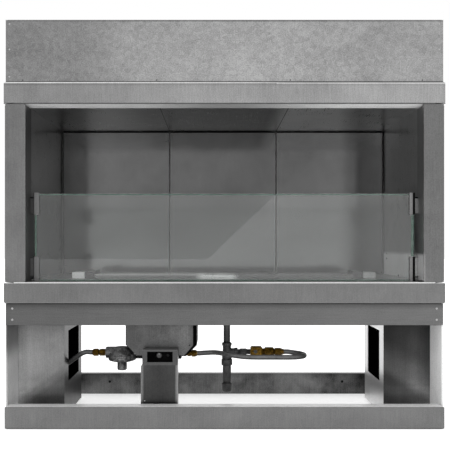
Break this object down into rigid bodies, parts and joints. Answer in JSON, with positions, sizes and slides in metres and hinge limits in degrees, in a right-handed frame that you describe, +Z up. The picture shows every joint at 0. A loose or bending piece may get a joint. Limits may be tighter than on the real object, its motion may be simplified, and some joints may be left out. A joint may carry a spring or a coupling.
{
  "type": "gas fireplace",
  "caption": "Open-fronted linear gas fireplace on an open stand, with glass wind guard, burner pan, gas valve, regulator and drip leg.",
  "frame": {"origin": "centre of the footprint, at floor level", "axes": "+X to the right seen from the front, +Y from the front to the back, +Z up"},
  "size_m": [1.016, 0.432, 0.944],
  "materials": {
    "satin_steel": "satin, faint even grain",
    "galvanised_steel": "galvanised, small spangle, matt",
    "dark_steel": "dull, dark",
    "liner_steel": "satin, fine speckle",
    "glass": "clear, green edges",
    "black_plate": "matt black",
    "bright_steel": "bright, nearly mirror",
    "cast_aluminium": "as cast, grey",
    "brass": "machined",
    "black_iron": "dark grey, dull",
    "grey_coating": "smooth grey coating",
    "black_plastic": "black, slight gloss"
  },
  "bodies": {
    "fireplace": {"back_liner_center": "liner_steel", "back_liner_left": "liner_steel", "back_liner_right": "liner_steel", "base_front_rail": "satin_steel", "base_rear_rail": "dark_steel", "base_side_panel_left": "satin_steel", "base_side_panel_right": "satin_steel", "base_upper_front_rail": "satin_steel", "base_upper_rear_rail": "dark_steel", "branch_nipple": "black_iron", "burner_end_stop_left": "dark_steel", "burner_end_stop_right": "dark_steel", "burner_flare_nut": "brass", "burner_hose": "grey_coating", "burner_pan": "bright_steel", "burner_tube": "bright_steel", "casing_back": "galvanised_steel", "casing_side_left": "galvanised_steel", "casing_side_right": "galvanised_steel", "casing_top": "galvanised_steel", "ceiling_panel": "liner_steel", "column_front_panel_left": "satin_steel", "column_front_panel_right": "satin_steel", "column_inner_wall_left": "satin_steel", "column_inner_wall_right": "satin_steel", "column_rear_panel_left": "dark_steel", "column_rear_panel_right": "dark_steel", "control_pedestal": "satin_steel", "control_plate": "black_plate", "drip_leg_cap": "black_iron", "drip_leg_pipe": "black_iron", "firebox_floor": "bright_steel", "front_post_left": "satin_steel", "front_post_right": "satin_steel", "gas_inlet_union": "brass", "gas_valve": "cast_aluminium", "glass_clip_lower_left": "satin_steel", "glass_clip_lower_right": "satin_steel", "glass_clip_upper_left": "satin_steel", "glass_clip_upper_right": "satin_steel", "header_trim": "satin_steel", "hood_front_panel": "galvanised_steel", "igniter_barrel": "black_plastic", "ledge_trim": "satin_steel", "pipe_tee": "black_iron", "regulator_body": "cast_aluminium", "regulator_cap": "cast_aluminium", "riser_pipe": "black_iron", "shutoff_valve": "brass", "side_liner_left": "liner_steel", "side_liner_right": "liner_steel", "supply_flare_fitting": "brass", "supply_hose": "grey_coating", "valve_housing": "dark_steel", "valve_housing_cover": "satin_steel", "valve_outlet_fitting": "brass"},
    "gas_knob": {"gas_knob": "black_plastic"},
    "igniter_button": {"igniter_button": "bright_steel"},
    "shutoff_stem": {"shutoff_stem": "black_iron"},
    "glass_guard": {"glass_guard": "glass"}
  },
  "joints": [
    {"name": "gas_knob_turn", "type": "hinge", "parent": "fireplace", "child": "gas_knob", "pos_m": [-0.1532, -0.1666, 0.164], "axis": [0, -1, 0], "range_deg": [0, 90]},
    {"name": "igniter_press", "type": "slide", "parent": "fireplace", "child": "igniter_button", "axis": [0, 1, 0], "range_m": [0, 0.004], "stiffness_N_per_m": 600},
    {"name": "shutoff_turn", "type": "hinge", "parent": "fireplace", "child": "shutoff_stem", "pos_m": [0.079, -0.0718, 0.158], "axis": [0, -1, 0], "range_deg": [0, 90]},
    {"name": "glass_lift", "type": "slide", "parent": "fireplace", "child": "glass_guard", "axis": [0, 0, 1], "range_m": [0, 0.195]}
  ]
}
